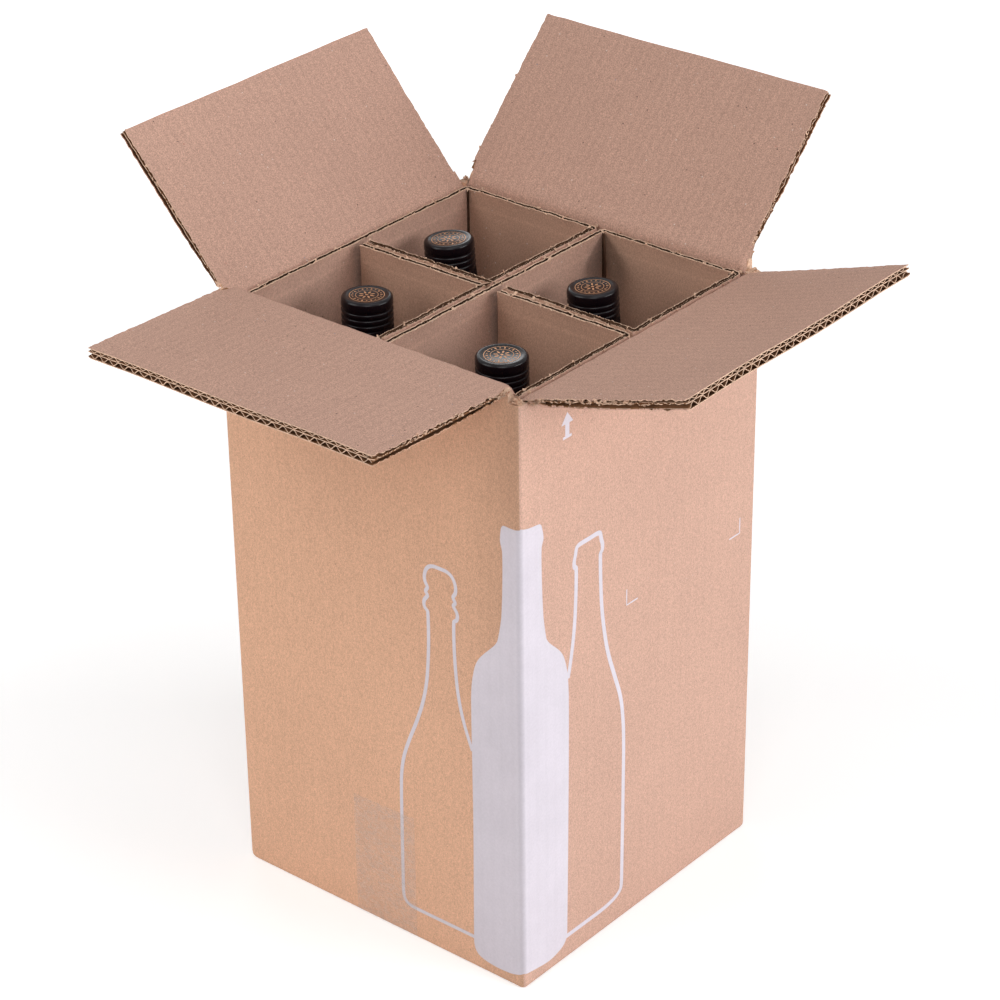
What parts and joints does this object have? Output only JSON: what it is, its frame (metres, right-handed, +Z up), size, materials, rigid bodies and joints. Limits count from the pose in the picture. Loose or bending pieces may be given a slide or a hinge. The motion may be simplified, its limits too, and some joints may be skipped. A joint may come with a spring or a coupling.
{
  "type": "bottle shipping box",
  "caption": "Square upright corrugated shipping carton with open top flaps, folded cell sleeves inside and capped bottles standing in the cells.",
  "frame": {"origin": "centre of the carton's base, on the floor it stands on", "axes": "+Z up; the wall at -Y carries the arrow and the wall at -X the visible end of the tape"},
  "size_m": [0.3999, 0.3971, 0.4608],
  "materials": {
    "carton_board": "matte",
    "insert_board": "matte",
    "bottle_glass": "dark",
    "cap_metal": "satin",
    "clear_tape": "clear",
    "white_print": "matte"
  },
  "bodies": {
    "box": {"carton": "carton_board", "insert_front": "insert_board", "insert_back": "insert_board", "bottom_tape": "clear_tape", "bottle_1": "bottle_glass", "bottle_2": "bottle_glass", "bottle_3": "bottle_glass", "bottle_4": "bottle_glass", "cap_1": "cap_metal", "cap_2": "cap_metal", "cap_3": "cap_metal", "cap_4": "cap_metal", "print_bottle": "white_print", "print_corked_outline": "white_print", "print_burgundy_outline": "white_print", "print_arrow": "white_print", "print_corner_marks": "white_print"},
    "flap_front": {"flap_front": "carton_board"},
    "flap_back": {"flap_back": "carton_board"},
    "flap_left": {"flap_left": "carton_board"},
    "flap_right": {"flap_right": "carton_board"}
  },
  "joints": [
    {"name": "flap_front_hinge", "type": "hinge", "parent": "box", "child": "flap_front", "pos_m": [0, -0.1078, 0.3781], "axis": [1, 0, 0], "range_deg": [-164, 46]},
    {"name": "flap_back_hinge", "type": "hinge", "parent": "box", "child": "flap_back", "pos_m": [0, 0.1078, 0.3781], "axis": [-1, 0, 0], "range_deg": [-132, 78]},
    {"name": "flap_left_hinge", "type": "hinge", "parent": "box", "child": "flap_left", "pos_m": [-0.1068, 0, 0.3852], "axis": [0, -1, 0], "range_deg": [-178, 32]},
    {"name": "flap_right_hinge", "type": "hinge", "parent": "box", "child": "flap_right", "pos_m": [0.1068, 0, 0.3852], "axis": [0, 1, 0], "range_deg": [-135, 75]}
  ]
}
